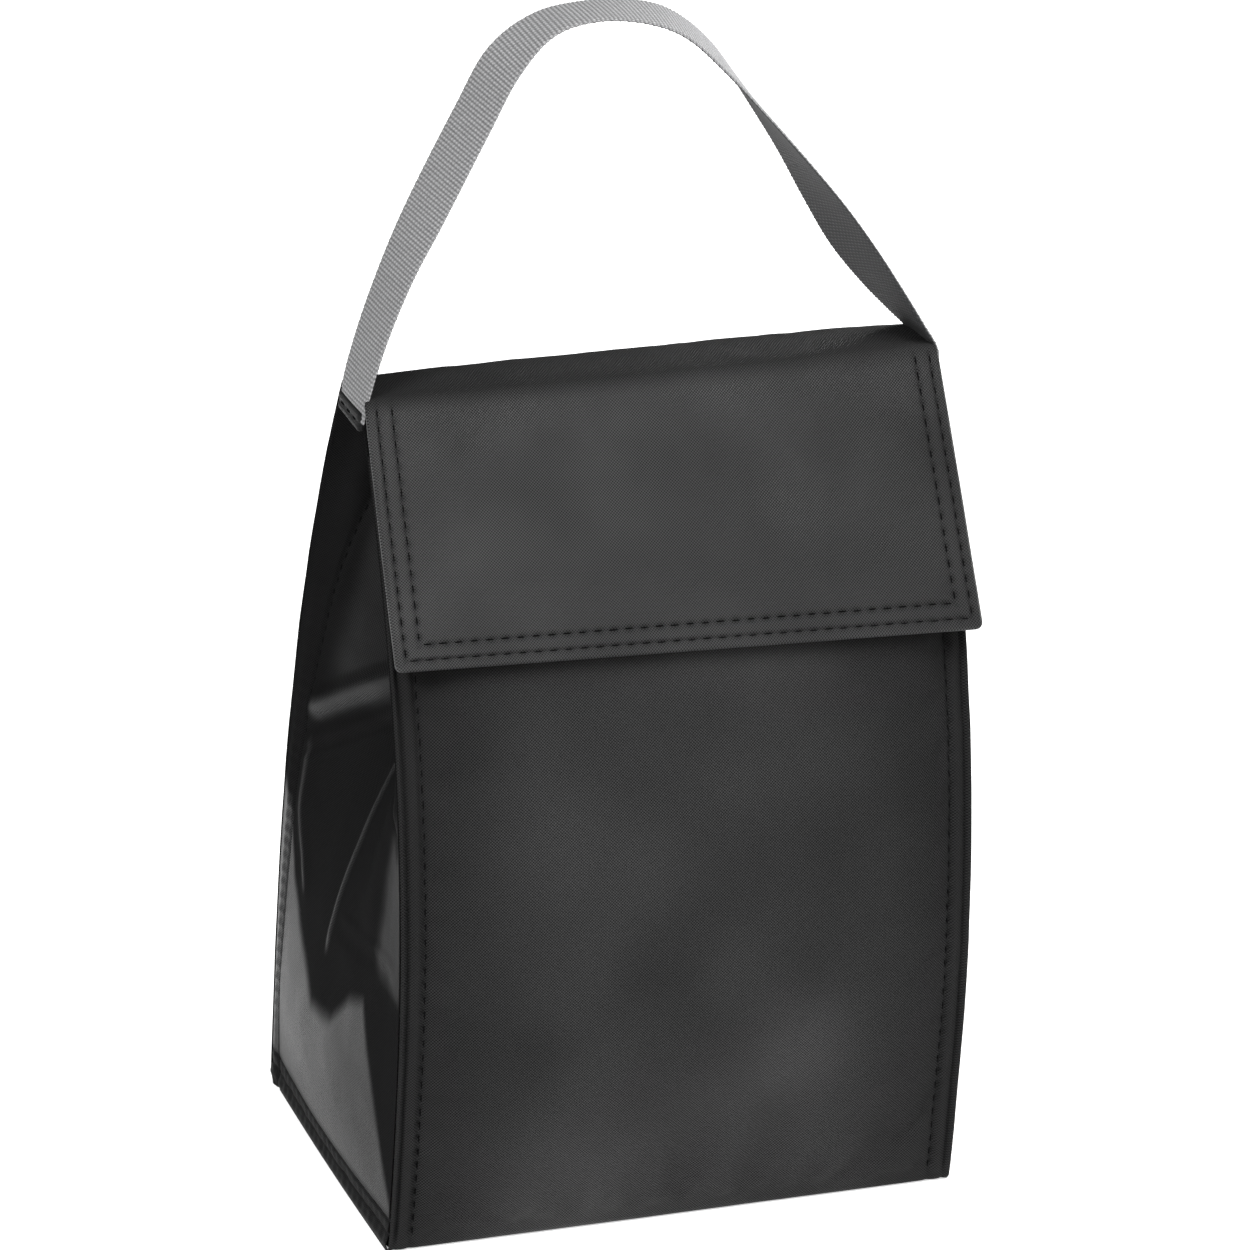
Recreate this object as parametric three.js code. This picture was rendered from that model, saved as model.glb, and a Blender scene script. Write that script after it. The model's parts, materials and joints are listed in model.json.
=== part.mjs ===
// Insulated cooler bag: a soft lunch cooler with folding side gussets, a padded flap that closes
// over the front with hook and loop tape, and one webbing carrying handle.
// Millimetres. The origin is the middle of the base, on the floor; +X is the bag's right,
// -Y is its front and +Z is up. Every wall is three layers: nylon outside, foam, foil lining inside.
import * as THREE from 'three';

// Driving dimensions of the bag
const WIDTH = 230;            // across the front
const DEPTH = 150;            // front to back at the base
const FOLD_HEIGHT = 326;      // where the back wall turns into the top fold
const MOUTH_HEIGHT = 308;     // top of the front wall's layers and of the gussets
const BACK_TOP = 324;         // top of the back wall's layers
const FRONT_TOP_DEPTH = 8;    // how far the front wall would be from the middle at FOLD_HEIGHT
const BACK_TOP_DEPTH = 14;    // the same for the back wall
const LEAN_POWER = 2.6;       // how late the walls curve in towards the top
const FRONT_BULGE = 8.5;      // outward bow of the front corner seams
const FRONT_BELLY = 6.4;      // further outward bow of the front wall between its seams
const BACK_BELLY = 5;         // the same for the back wall
const FOLD_START = 95;        // height where the side gussets start to fold inward
const FOLD_POWER = 1.54;      // how gently that fold starts

// Layers of a wall, outside in
const NYLON = 0.7;
const FOAM = 2;
const THIN_FOAM = 1;          // in the gussets, which have to fold
const FLAP_FOAM = 1.6;
const LINING = 0.4;
const GAP = 0.35;             // between layers
const SEAM_STRIP = 1.2;       // turned seam allowance, thickness
const SEAM_WIDTH = 9.5;       // from a corner to its top stitching
const GUSSET_INSET = 3.6;     // the gusset's edge sits this far behind the front or back face
const CREASE_GAP = 1;         // between the gusset's two halves, along its inner crease

// Flap and its fold
const FLAP_LENGTH = 105.7;
const FLAP_WIDTH = 233.5;
const FLAP_LEAN = THREE.MathUtils.degToRad(32);
const FLAP_CORNER = 3;
const HEM = 9;
const HINGE = { y: -12.2, z: 327.3 };
const FOLD_RISE = 4;          // of the top fold's crown over FOLD_HEIGHT
const FOLD_HALF = 13.5;       // half the depth of the top fold
const FOLD_CENTRE = 0.5;
const FOLD_HALF_WIDTH = 108.5;
const TAPE_WIDTH = 100;       // hook and loop tape
const TAPE = 0.9;

// Webbing handle
const WEBBING_WIDTH = 25;
const WEBBING = 1.4;
const HANDLE_Y = 0.7;
const SEWN_TOP = 345;         // the sewn ends reach up to here
const LOOP_FOOT = 356;        // the loop starts here; between them the webbing twists as it swings

const half = { width: WIDTH / 2, depth: DEPTH / 2, gusset: DEPTH / 2 };

// Finishes
const nylon = () => new THREE.MeshStandardMaterial({ color: 0x2c2c2d, roughness: 0.5 });
const foam = () => new THREE.MeshStandardMaterial({ color: 0xe6e6e0, roughness: 0.9 });
const foil = () => new THREE.MeshStandardMaterial({ color: 0xc6c9cc, roughness: 0.3, metalness: 0.7 });
const tape = () => new THREE.MeshStandardMaterial({ color: 0x1e1e20, roughness: 0.95 });
const webbingCloth = () => new THREE.MeshStandardMaterial({ color: 0x9b9b9c, roughness: 0.8 });

// ---------------------------------------------------------------- closed solids from grids

// A closed body from its corners and triangles. The winding is turned if its volume is negative.
function closedBody(corners, triangles) {
  let volume = 0;
  for (const [a, b, c] of triangles) {
    volume += corners[a].dot(new THREE.Vector3().crossVectors(corners[b], corners[c]));
  }
  const index = triangles.flatMap(([a, b, c]) => (volume > 0 ? [a, b, c] : [a, c, b]));
  const geometry = new THREE.BufferGeometry();
  geometry.setAttribute('position', new THREE.Float32BufferAttribute(corners.flatMap((p) => p.toArray()), 3));
  geometry.setIndex(index);
  geometry.computeVertexNormals();
  return geometry;
}

// A thin solid between two depths under a surface. surface(u, v) gives a point of the outer face;
// us and vs are the grid's steps, and the depths are measured to the side that towards points to.
function sheet(surface, us, vs, from, to, towards) {
  const step = 0.01;
  const corners = [];
  for (const depth of [from, to]) {
    for (const v of vs) {
      for (const u of us) {
        const alongU = surface(u + step, v).sub(surface(u - step, v));
        const alongV = surface(u, v + step).sub(surface(u, v - step));
        const inward = new THREE.Vector3().crossVectors(alongU, alongV).normalize();
        if (inward.dot(towards) < 0) inward.negate();
        corners.push(surface(u, v).addScaledVector(inward, depth));
      }
    }
  }
  const across = us.length;
  const face = across * vs.length;
  const triangles = [];
  const quad = (a, b, c, d) => triangles.push([a, b, c], [a, c, d]);
  for (let j = 0; j + 1 < vs.length; j++) {
    for (let i = 0; i + 1 < across; i++) {
      const a = j * across + i;
      quad(a, a + 1, a + across + 1, a + across);
      quad(face + a, face + a + across, face + a + across + 1, face + a + 1);
    }
  }
  const last = (vs.length - 1) * across;
  for (let i = 0; i + 1 < across; i++) {
    quad(i + 1, i, face + i, face + i + 1);
    quad(last + i, last + i + 1, face + last + i + 1, face + last + i);
  }
  for (let j = 0; j + 1 < vs.length; j++) {
    const left = j * across;
    const right = left + across - 1;
    quad(left, left + across, face + left + across, face + left);
    quad(right + across, right, face + right, face + right + across);
  }
  return closedBody(corners, triangles);
}

function plate(outline, thickness) {
  return new THREE.ExtrudeGeometry(outline, { depth: thickness, bevelEnabled: false, curveSegments: 4 });
}

// A rectangle from x = -w/2 to w/2 and from low to high, with rounded lower and square upper corners
function tongue(width, low, high, radius) {
  const side = width / 2;
  const shape = new THREE.Shape();
  shape.moveTo(-side, high);
  shape.lineTo(-side, low + radius);
  shape.absarc(-side + radius, low + radius, radius, Math.PI, 1.5 * Math.PI);
  shape.lineTo(side - radius, low);
  shape.absarc(side - radius, low + radius, radius, 1.5 * Math.PI, 2 * Math.PI);
  shape.lineTo(side, high);
  return shape;
}

const bag = new THREE.Group();

function add(name, geometry, material, parent = bag) {
  const mesh = new THREE.Mesh(geometry, material);
  mesh.name = name;
  parent.add(mesh);
  return mesh;
}

// ---------------------------------------------------------------- the walls' shapes

const rise = (z) => z / FOLD_HEIGHT;
const bow = (z) => Math.sin(Math.PI * rise(z));
const lean = (z, top) => half.depth + (top - half.depth) * rise(Math.max(z, 0)) ** LEAN_POWER;
const frontSeam = (z) => lean(z, FRONT_TOP_DEPTH) + FRONT_BULGE * bow(z);
const backSeam = (z) => lean(z, BACK_TOP_DEPTH);
const belly = (x) => 1 - Math.min(Math.abs(x) / half.width, 1) ** 3;

const frontFace = (x, z) => new THREE.Vector3(x, -frontSeam(z) - FRONT_BELLY * bow(z) * belly(x), z);
const backFace = (x, z) => new THREE.Vector3(x, backSeam(z) + BACK_BELLY * bow(z) * belly(x), z);

// Depth of a gusset's inward fold at a height
function foldDepth(z) {
  const t = THREE.MathUtils.clamp((z - FOLD_START) / (FOLD_HEIGHT - FOLD_START), 0, 1);
  return half.gusset * Math.sin((Math.PI / 2) * t ** FOLD_POWER);
}

// One half of a gusset, ruled from its corner seam to its inner crease; w runs 0 to 1
function gussetFace(side, end) {
  return (w, z) => {
    const seamY = end < 0 ? -(frontSeam(z) - GUSSET_INSET) : backSeam(z) - GUSSET_INSET;
    const creaseY = (backSeam(z) - frontSeam(z)) / 2 + (end * CREASE_GAP) / 2;
    const x = side * (half.width - w * foldDepth(z));
    return new THREE.Vector3(x, THREE.MathUtils.lerp(seamY, creaseY, w), z);
  };
}

// Grid steps that the layers of a wall share, so that their facets stay parallel
const BASE_STACK = NYLON + FOAM + LINING + 2 * GAP;
const WALL_FOOT = NYLON + 0.4;
const FOAM_FOOT = BASE_STACK + 1.2;
const GUSSET_FOAM_FOOT = 11;
const TAPE_ROWS = [240, 262];
const middleRows = [45, 80, 120, 160, 200, ...TAPE_ROWS, 285];
const wallRows = [WALL_FOOT, FOAM_FOOT, ...middleRows, MOUTH_HEIGHT];
const foamEdge = half.width - SEAM_WIDTH;
const tapeEdge = TAPE_WIDTH / 2;
const foamColumns = [-foamEdge, -80, -tapeEdge, 0, tapeEdge, 80, foamEdge];
const wallColumns = [-half.width, ...foamColumns, half.width];

// Depths of the three layers under a wall's outer face
const layers = (thickness) => {
  const foamFrom = NYLON + GAP;
  const liningFrom = foamFrom + thickness + GAP;
  return {
    nylon: [0, NYLON],
    foam: [foamFrom, foamFrom + thickness],
    lining: [liningFrom, liningFrom + LINING],
  };
};

const toBack = new THREE.Vector3(0, 1, 0);
const toFront = new THREE.Vector3(0, -1, 0);

// ---------------------------------------------------------------- base

function buildBase() {
  const edge = 0.2;
  const floor = (low, thickness, inset) => {
    const x = half.width - inset;
    const y = half.depth - inset;
    const shape = new THREE.Shape([
      new THREE.Vector2(-x, -y), new THREE.Vector2(x, -y), new THREE.Vector2(x, y), new THREE.Vector2(-x, y),
    ]);
    return plate(shape, thickness).translate(0, 0, low);
  };
  const foamLow = NYLON + GAP;
  const liningLow = foamLow + FOAM + GAP;
  const foamInset = 6;
  add('base_panel', floor(0, NYLON, edge), nylon());
  add('base_foam', floor(foamLow, FOAM, foamInset), foam());
  add('base_lining', floor(liningLow, LINING, foamInset), foil());
  for (const [side, name] of [[-1, 'left'], [1, 'right']]) {
    const strip = new THREE.BoxGeometry(SEAM_STRIP, DEPTH - 16, GUSSET_FOAM_FOOT - 1 - WALL_FOOT);
    const x = side * (half.width - NYLON - GAP - SEAM_STRIP / 2);
    const seam = add(`base_${name}_seam`, strip, nylon());
    seam.position.set(x, 0, (WALL_FOOT + GUSSET_FOAM_FOOT - 1) / 2);
  }
}

// ---------------------------------------------------------------- front and back walls

function buildWall(name, face, inward, topRows) {
  const depth = layers(FOAM);
  const rows = [...wallRows, ...topRows];
  const innerRows = rows.slice(1);
  add(`${name}_panel`, sheet(face, wallColumns, rows, ...depth.nylon, inward), nylon());
  add(`${name}_foam`, sheet(face, foamColumns, innerRows, ...depth.foam, inward), foam());
  add(`${name}_lining`, sheet(face, foamColumns, innerRows, ...depth.lining, inward), foil());
  const stripFrom = NYLON + 0.65;
  for (const [side, sideName] of [[-1, 'left'], [1, 'right']]) {
    const columns = [side * (half.width - 0.5), side * (foamEdge + 0.5)];
    const strip = sheet(face, columns, wallRows, stripFrom, stripFrom + SEAM_STRIP, inward);
    add(`${name}_${sideName}_seam`, strip, nylon());
  }
}

// The bound edge of the front wall's mouth and the loop tape under the flap
function buildMouth() {
  const depth = layers(FOAM);
  const hemRows = [MOUTH_HEIGHT + 0.4, MOUTH_HEIGHT + 4];
  add('mouth_hem', sheet(frontFace, foamColumns, hemRows, 0, depth.lining[1], toBack), nylon());
  const tapeColumns = [-tapeEdge, 0, tapeEdge];
  add('loop_strip', sheet(frontFace, tapeColumns, TAPE_ROWS, -GAP - TAPE, -GAP, toBack), tape());
}

// ---------------------------------------------------------------- side gussets

// Foam and lining stay clear of the corner seam, and further in near the mouth, where the
// gusset lies almost flat against the wall
function liningStart(z) {
  const nearMouth = Math.max(z - TAPE_ROWS[0], 0) / (MOUTH_HEIGHT - TAPE_ROWS[0]);
  return (SEAM_WIDTH + 16 * nearMouth ** 2) / half.gusset;
}

// The nylon has one column of facets more than the layers behind it: from the seam to their edge
function buildGussetHalf(side, end, name) {
  const ruled = gussetFace(side, end);
  const face = (column, z) => {
    const start = liningStart(z);
    return ruled(column < 1 ? column * start : THREE.MathUtils.lerp(start, 1, (column - 1) / 2), z);
  };
  const inward = new THREE.Vector3(-side, end * 0.2, 0);
  const depth = layers(THIN_FOAM);
  const columns = [0, 1, 2, 3];
  const innerColumns = columns.slice(1);
  const innerRows = [GUSSET_FOAM_FOOT, ...middleRows];
  const panelRows = [WALL_FOOT, ...innerRows, MOUTH_HEIGHT];
  add(`${name}_panel`, sheet(face, columns, panelRows, ...depth.nylon, inward), nylon());
  add(`${name}_foam`, sheet(face, innerColumns, innerRows, ...depth.foam, inward), foam());
  add(`${name}_lining`, sheet(face, innerColumns, panelRows.slice(1), ...depth.lining, inward), foil());
}

// ---------------------------------------------------------------- top fold

function buildTopFold() {
  const turn = THREE.MathUtils.degToRad(157);
  const innerTurn = THREE.MathUtils.degToRad(120);
  const crown = (x) => 1 - 0.85 * (Math.abs(x) / half.width) ** 6;
  const face = (x, a) => new THREE.Vector3(
    x, FOLD_CENTRE + FOLD_HALF * Math.cos(a), FOLD_HEIGHT + FOLD_RISE * crown(x) * Math.sin(a));
  const edge = FOLD_HALF_WIDTH;
  const columns = [-edge, -98, -80, 0, 80, 98, edge];
  const innerColumns = columns.slice(1, -1);
  const angles = [0, innerTurn / 4, innerTurn / 2, 0.75 * innerTurn, innerTurn, turn];
  const depth = layers(FLAP_FOAM);
  const inside = new THREE.Vector3(0, 0, -1);
  const start = THREE.MathUtils.degToRad(0.01);
  const bent = (range) => sheet(face, columns, angles.map((a) => a + start), ...range, inside);
  const bentInner = (range) => sheet(face, innerColumns, angles.slice(1, -1), ...range, inside);
  add('top_fold_panel', bent(depth.nylon), nylon());
  add('top_fold_foam', bentInner(depth.foam), foam());
  add('top_fold_lining', bentInner(depth.lining), foil());
}

// ---------------------------------------------------------------- flap

// Drawn flat: x across, y up the flap towards its hinge at y = 0, z out of the bag
function buildFlap() {
  const flap = new THREE.Group();
  flap.position.set(0, HINGE.y, HINGE.z);
  flap.rotation.x = Math.PI / 2 - FLAP_LEAN;
  bag.add(flap);
  const depth = layers(FLAP_FOAM);
  const place = (geometry, range) => geometry.translate(0, 0, -range[1]);
  const root = 0.8;
  const innerRoot = 6;
  const foamWidth = FLAP_WIDTH - 2 * HEM - 1;
  const foamLow = -FLAP_LENGTH + HEM + 0.5;

  const skin = plate(tongue(FLAP_WIDTH, -FLAP_LENGTH, -root, FLAP_CORNER), NYLON);
  add('flap_panel', place(skin, depth.nylon), nylon(), flap);
  const pad = plate(tongue(foamWidth, foamLow, -innerRoot, 1), FLAP_FOAM);
  add('flap_foam', place(pad, depth.foam), foam(), flap);
  const liner = plate(tongue(FLAP_WIDTH - 3, -FLAP_LENGTH + 1.5, -innerRoot, FLAP_CORNER), LINING);
  add('flap_lining', place(liner, depth.lining), foil(), flap);

  // The hem is the skin's edge turned in along three sides
  const outer = (FLAP_WIDTH - 1) / 2;
  const inner = outer - HEM + 0.8;
  const low = -FLAP_LENGTH + 0.5;
  const hem = new THREE.Shape();
  hem.moveTo(-outer, -innerRoot);
  hem.lineTo(-outer, low + FLAP_CORNER);
  hem.lineTo(-outer + FLAP_CORNER, low);
  hem.lineTo(outer - FLAP_CORNER, low);
  hem.lineTo(outer, low + FLAP_CORNER);
  hem.lineTo(outer, -innerRoot);
  hem.lineTo(inner, -innerRoot);
  hem.lineTo(inner, low + HEM - 0.8);
  hem.lineTo(-inner, low + HEM - 0.8);
  hem.lineTo(-inner, -innerRoot);
  add('flap_hem', place(plate(hem, FLAP_FOAM), depth.foam), nylon(), flap);

  const tapeLow = 96;
  const tapeHigh = 74;
  const hookFrom = depth.lining[1] + GAP;
  const hook = plate(tongue(TAPE_WIDTH, -tapeLow, -tapeHigh, 1), TAPE);
  add('hook_strip', place(hook, [hookFrom, hookFrom + TAPE]), tape(), flap);
}

// ---------------------------------------------------------------- handle

// The webbing's middle line, left to right: x, z and its turn about its own length in degrees.
// At turn 0 its width lies along Y; a positive turn lowers its back edge towards the bag's middle.
const HANDLE_ROUTE = [
  [-114.6, 318, 0], [-113.8, 327.5, -4], [-108, 350, -5], [-99, 375, -8], [-88.5, 398, -13],
  [-72.5, 431, -13], [-61, 453, -11], [-46, 466.5, 1], [-28, 470.4, 4], [-8, 468.5, -1],
  [8, 462, -6], [24, 447.5, -8], [40, 427, 1], [56, 405.5, 11], [70, 385, 22], [82, 367, 27],
  [94.4, 350, 22], [105.6, 335.5, 13], [113.2, 325.5, 6], [114.6, 318, 0],
];

function buildHandle() {
  const route = new THREE.CatmullRomCurve3(HANDLE_ROUTE.map(([x, z]) => new THREE.Vector3(x, HANDLE_Y, z)));
  const spans = HANDLE_ROUTE.length - 1;
  const turnAt = (u) => {
    const i = Math.min(Math.floor(u * spans), spans - 1);
    const mix = u * spans - i;
    const turn = THREE.MathUtils.lerp(HANDLE_ROUTE[i][2], HANDLE_ROUTE[i + 1][2], mix);
    return THREE.MathUtils.degToRad(turn);
  };
  const ribbon = (start, end, steps) => {
    const corners = [];
    for (let k = 0; k <= steps; k++) {
      const u = THREE.MathUtils.lerp(start, end, k / steps);
      const tangent = route.getTangent(u);
      const inwards = new THREE.Vector3(tangent.z, 0, -tangent.x);
      const turn = turnAt(u);
      const across = toBack.clone().multiplyScalar(Math.cos(turn)).addScaledVector(inwards, Math.sin(turn));
      const through = new THREE.Vector3().crossVectors(tangent, across).normalize();
      for (const [w, t] of [[-1, -1], [1, -1], [1, 1], [-1, 1]]) {
        const corner = route.getPoint(u);
        corner.addScaledVector(across, (w * WEBBING_WIDTH) / 2).addScaledVector(through, (t * WEBBING) / 2);
        corners.push(corner);
      }
    }
    const triangles = [[0, 1, 2], [0, 2, 3]];
    for (let k = 0; k < steps; k++) {
      for (let c = 0; c < 4; c++) {
        const a = 4 * k + c;
        const b = 4 * k + ((c + 1) % 4);
        triangles.push([a, a + 4, b + 4], [a, b + 4, b]);
      }
    }
    const cap = 4 * steps;
    triangles.push([cap, cap + 2, cap + 1], [cap, cap + 3, cap + 2]);
    return closedBody(corners, triangles);
  };
  // The place on the route, from one of its ends, where it first reaches a height
  const reach = (z, end) => {
    let along = 0;
    while (route.getPoint(Math.abs(end - along)).z < z) along += 0.0005;
    return Math.abs(end - along);
  };
  add('handle_left_end', ribbon(0, reach(SEWN_TOP, 0), 6), webbingCloth());
  add('handle_webbing', ribbon(reach(LOOP_FOOT, 0), reach(LOOP_FOOT, 1), 34), webbingCloth());
  add('handle_right_end', ribbon(reach(SEWN_TOP, 1), 1, 8), webbingCloth());
}

buildBase();
buildWall('back', backFace, toFront, [BACK_TOP]);
buildWall('front', frontFace, toBack, []);
buildMouth();
for (const [side, sideName] of [[-1, 'left'], [1, 'right']]) {
  buildGussetHalf(side, -1, `${sideName}_gusset_front`);
  buildGussetHalf(side, 1, `${sideName}_gusset_back`);
}
buildTopFold();
buildFlap();
buildHandle();

export default bag;
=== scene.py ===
import json
import math

import bpy
import numpy as np
from mathutils import Matrix, Vector, noise


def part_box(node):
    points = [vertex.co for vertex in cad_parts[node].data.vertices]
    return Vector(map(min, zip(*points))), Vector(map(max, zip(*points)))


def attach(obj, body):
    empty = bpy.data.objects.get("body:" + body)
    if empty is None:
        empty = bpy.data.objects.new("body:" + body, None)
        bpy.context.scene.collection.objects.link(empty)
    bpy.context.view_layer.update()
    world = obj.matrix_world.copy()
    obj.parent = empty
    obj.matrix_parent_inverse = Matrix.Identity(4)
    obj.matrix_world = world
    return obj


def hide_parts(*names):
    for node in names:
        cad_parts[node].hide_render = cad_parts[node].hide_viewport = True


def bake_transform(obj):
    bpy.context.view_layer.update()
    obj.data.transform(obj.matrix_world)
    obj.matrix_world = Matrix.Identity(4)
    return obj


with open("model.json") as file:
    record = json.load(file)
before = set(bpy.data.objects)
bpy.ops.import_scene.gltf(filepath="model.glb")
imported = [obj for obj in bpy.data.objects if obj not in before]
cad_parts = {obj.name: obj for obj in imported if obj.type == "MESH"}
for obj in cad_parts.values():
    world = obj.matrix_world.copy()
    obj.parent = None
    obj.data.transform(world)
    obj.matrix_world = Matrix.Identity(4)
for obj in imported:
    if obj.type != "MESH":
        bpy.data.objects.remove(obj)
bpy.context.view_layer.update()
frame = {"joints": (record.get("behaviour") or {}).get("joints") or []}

# An insulated cooler bag: woven nylon outside, foam, foil film inside, a flap over the front and a webbing
# handle. Metres, in the CAD part's frame: the base's middle is the origin, -Y is the front, +Z is up.

MM = 0.001

# Driving dimensions, from the frame where it has them
HALF_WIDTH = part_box("front_panel")[1].x
HALF_DEPTH = HALF_WIDTH * 150 / 230
FLAP_HALF_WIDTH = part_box("flap_panel")[1].x
MOUTH_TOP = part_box("mouth_hem")[1].z
PIVOT = Vector(next(j["pos_m"] for j in frame["joints"] if j["name"] == "handle_swing"))
FOLD_HEIGHT = 326 * MM          # where the back wall turns into the top fold
FRONT_TOP_DEPTH = 8 * MM        # the walls' distances from the middle at FOLD_HEIGHT
BACK_TOP_DEPTH = 14 * MM
LEAN_POWER = 2.6
FRONT_BULGE = 8.5 * MM          # outward bow of the front corner seams
FRONT_BELLY = 6.4 * MM          # further bow of the front wall between them
BACK_BELLY = 5 * MM
FOLD_START = 95 * MM            # where the gussets start to fold inward
FOLD_POWER = 1.54
GUSSET_TOP = 316 * MM
GUSSET_INSET = 1.6 * MM         # its edges lie this far inside the corner seams
FOOT_RADIUS = 3.5 * MM          # of the turn from a wall into the base
FLAP_LEAN = math.radians(32)
FLAP_LENGTH = 105.7 * MM
FLAP_SKEW = 0.035               # the flap hangs this share lower at its right side, higher at its left
ARCH_HALF, ARCH_CENTRE, ARCH_RISE = 13.5 * MM, 0.5 * MM, 4 * MM
ARCH_TURN = math.radians(157)

CLOTH = 0.5 * MM
FOAM_FROM, FOAM_TO = 0.9 * MM, 2.8 * MM
FILM_FROM, FILM_TO = 3.2 * MM, 3.6 * MM
WEAVE_PITCH = 1.2 * MM
FIBRE_PITCH = 0.55 * MM
STITCH_PITCH = 6 * MM
STITCH_LENGTH = 3.7 * MM


# ---------------------------------------------------------------- meshes

def steps(*knots):
    """Grid steps: (start, end, count) stretches joined end to end."""
    values = []
    for start, end, count in knots:
        values += list(np.linspace(start, end, count, endpoint=False))
    return np.array(values + [knots[-1][1]])


def mirrored(half):
    """Steps from -h to h from the positive half's distances to the edge, which run 0 to h."""
    return np.concatenate([-(half[-1] - half[:-1]), (half[-1] - half)[::-1]])


def new_object(name, points, faces, material, uv=None, smooth=True, gloss_and_painted_light=None):
    """A mesh object, with a per-point mask of gloss and painted light given by the last argument: 0 is matt,
    1 is usual; in the nylon it also scales the colour, darker where low as painted shade and lighter where
    high as painted sheen.
    """
    mesh = bpy.data.meshes.new(name)
    mesh.from_pydata(np.asarray(points, float).tolist(), [], faces)
    mask_layer = mesh.attributes.new("gloss_and_painted_light", "FLOAT", "POINT")
    mask_layer.data.foreach_set("value", np.ones(len(points), np.float32) if gloss_and_painted_light is None else gloss_and_painted_light)
    mesh.polygons.foreach_set("use_smooth", [smooth] * len(mesh.polygons))
    if uv is not None:
        layer = mesh.uv_layers.new(name="UVMap")
        corners = np.zeros(len(mesh.loops), np.int32)
        mesh.loops.foreach_get("vertex_index", corners)
        layer.data.foreach_set("uv", np.asarray(uv, np.float32)[corners].ravel())
    mesh.materials.append(material)
    mesh.update()
    piece = bpy.data.objects.new(name, mesh)
    bpy.context.scene.collection.objects.link(piece)
    return piece


def unit(vectors):
    return vectors / np.maximum(np.linalg.norm(vectors, axis=-1, keepdims=True), 1e-12)


def normals(grid, towards):
    """Unit normals of a grid of points, on the side that towards points to."""
    across = np.gradient(grid, axis=1)
    along = np.gradient(grid, axis=0)
    n = unit(np.cross(across, along))
    return n if np.sum(n @ np.array(towards, float)) > 0 else -n


def quads(index):
    """Four-cornered faces over a grid of point numbers."""
    corners = index[:-1, :-1], index[:-1, 1:], index[1:, 1:], index[1:, :-1]
    return np.stack(corners, -1).reshape(-1, 4)


def inside_out(points, faces):
    """Whether four-cornered faces round a body face into it."""
    p = points - points.mean(0)
    a, b, c, d = (p[faces[:, k]] for k in range(4))
    return np.sum(a * (np.cross(b, c) + np.cross(c, d))) < 0


def tube_faces(start, rings, sides):
    """Faces of a small closed tube whose points run ring by ring from start."""
    faces = []
    for r in range(rings - 1):
        low, high = start + r * sides, start + (r + 1) * sides
        for s in range(sides):
            t = (s + 1) % sides
            faces.append([low + s, low + t, high + t, high + s])
    faces.append([start + s for s in reversed(range(sides))])
    faces.append([start + (rings - 1) * sides + s for s in range(sides)])
    return faces


def sheet_between(name, outer, inner, material, uv, gloss_and_painted_light=None):
    """A closed body from two grids of points with the same steps, one on each side."""
    rows, columns = outer.shape[:2]
    count = rows * columns
    points = np.concatenate([outer.reshape(-1, 3), inner.reshape(-1, 3)])
    index = np.arange(count).reshape(rows, columns)
    top = quads(index)
    bottom = top[:, [0, 3, 2, 1]] + count
    rim = np.concatenate([index[0, :], index[1:, -1], index[-1, -2::-1], index[-2:0:-1, 0]])
    after = np.roll(rim, -1)
    side = np.stack([after, rim, rim + count, after + count], -1)
    faces = np.concatenate([top, bottom, side])
    if inside_out(points, faces):
        faces = faces[:, ::-1]
    flat_uv = np.tile(uv.reshape(-1, 2), (2, 1))
    if gloss_and_painted_light is not None:
        gloss_and_painted_light = np.tile(gloss_and_painted_light.ravel(), 2).astype(np.float32)
    return new_object(name, points, faces.tolist(), material, flat_uv, gloss_and_painted_light=gloss_and_painted_light)


def layer(name, grid, towards, from_depth, to_depth, material, uv, gloss_and_painted_light=None):
    """A thin closed body between two depths under a grid of points."""
    inward = normals(grid, towards)
    return sheet_between(name, grid + inward * from_depth, grid + inward * to_depth, material, uv, gloss_and_painted_light)


def path_lengths(points):
    """The length along a path up to each of its points."""
    return np.concatenate([[0], np.cumsum(np.linalg.norm(np.diff(points, axis=0), axis=1))])


def bump(distance, centre, half):
    """A smooth hill 1 high, from centre - half to centre + half."""
    t = np.clip(np.abs((distance - centre) / half), 0, 1)
    return np.cos(t * math.pi / 2) ** 2


def smooth(value, low, high):
    t = np.clip((value - low) / (high - low), 0, 1)
    return t * t * (3 - 2 * t)


def round_edge(distance, radius):
    """Height, 0 to 1, of a round edge at a distance in from it."""
    return np.sqrt(np.clip(1 - (1 - np.clip(distance / radius, 0, 1)) ** 2, 0, 1))


def ripple(grid, size, seed, octaves=3):
    """Smooth noise from -1 to 1 over a grid of points, with waves about size long."""
    flat = grid.reshape(-1, 3) / size
    shift = Vector((seed * 17.3, seed * 5.1, seed * 9.7))
    values = [noise.fractal(Vector(p) + shift, 0.9, 2.1, octaves) for p in flat]
    return np.array(values).reshape(grid.shape[:2])


def at(grid, us, vs, u, v):
    """Points of a grid at fractional places u and v, between its steps us and vs."""
    i = np.clip(np.searchsorted(us, u, side="right") - 1, 0, len(us) - 2)
    j = np.clip(np.searchsorted(vs, v, side="right") - 1, 0, len(vs) - 2)
    s = ((u - us[i]) / (us[i + 1] - us[i]))[:, None]
    t = ((v - vs[j]) / (vs[j + 1] - vs[j]))[:, None]
    low = grid[j, i] * (1 - s) + grid[j, i + 1] * s
    high = grid[j + 1, i] * (1 - s) + grid[j + 1, i + 1] * s
    return low * (1 - t) + high * t


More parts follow.
